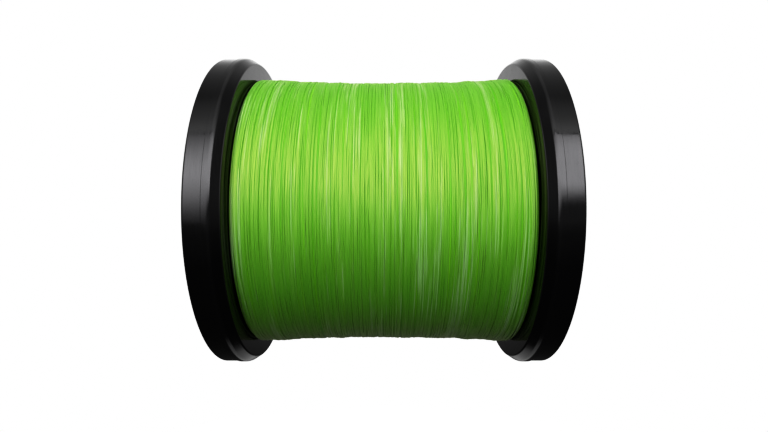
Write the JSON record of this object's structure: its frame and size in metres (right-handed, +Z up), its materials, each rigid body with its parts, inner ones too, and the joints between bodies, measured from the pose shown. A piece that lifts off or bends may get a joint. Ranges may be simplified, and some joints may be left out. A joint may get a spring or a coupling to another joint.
{
  "type": "fishing line spool",
  "caption": "Bulk spool of braided fishing line: ribbed barrel with an arbor hole, thick flanges closed by outer covers, and a full winding of line.",
  "frame": {"origin": "centre of the arbor hole, half way along the spool's axis", "axes": "X along the spool's axis, from the left flange to the right one; +Z up with the spool lying level; -Y towards the viewer"},
  "size_m": [0.1006, 0.1006, 0.1006],
  "materials": {
    "spool_plastic": "glossy black moulded ABS",
    "barrel_plastic": "satin black moulded ABS",
    "paper_tape": "crepe paper tape",
    "braided_line": "coated polyethylene braid, lime green",
    "clear_tape": "clear adhesive film"
  },
  "bodies": {
    "root": {"barrel": "barrel_plastic", "left_flange": "spool_plastic", "right_flange": "spool_plastic", "left_cover": "spool_plastic", "right_cover": "spool_plastic", "anchor_tape": "paper_tape", "line_winding": "braided_line", "end_tape": "clear_tape"}
  },
  "joints": []
}
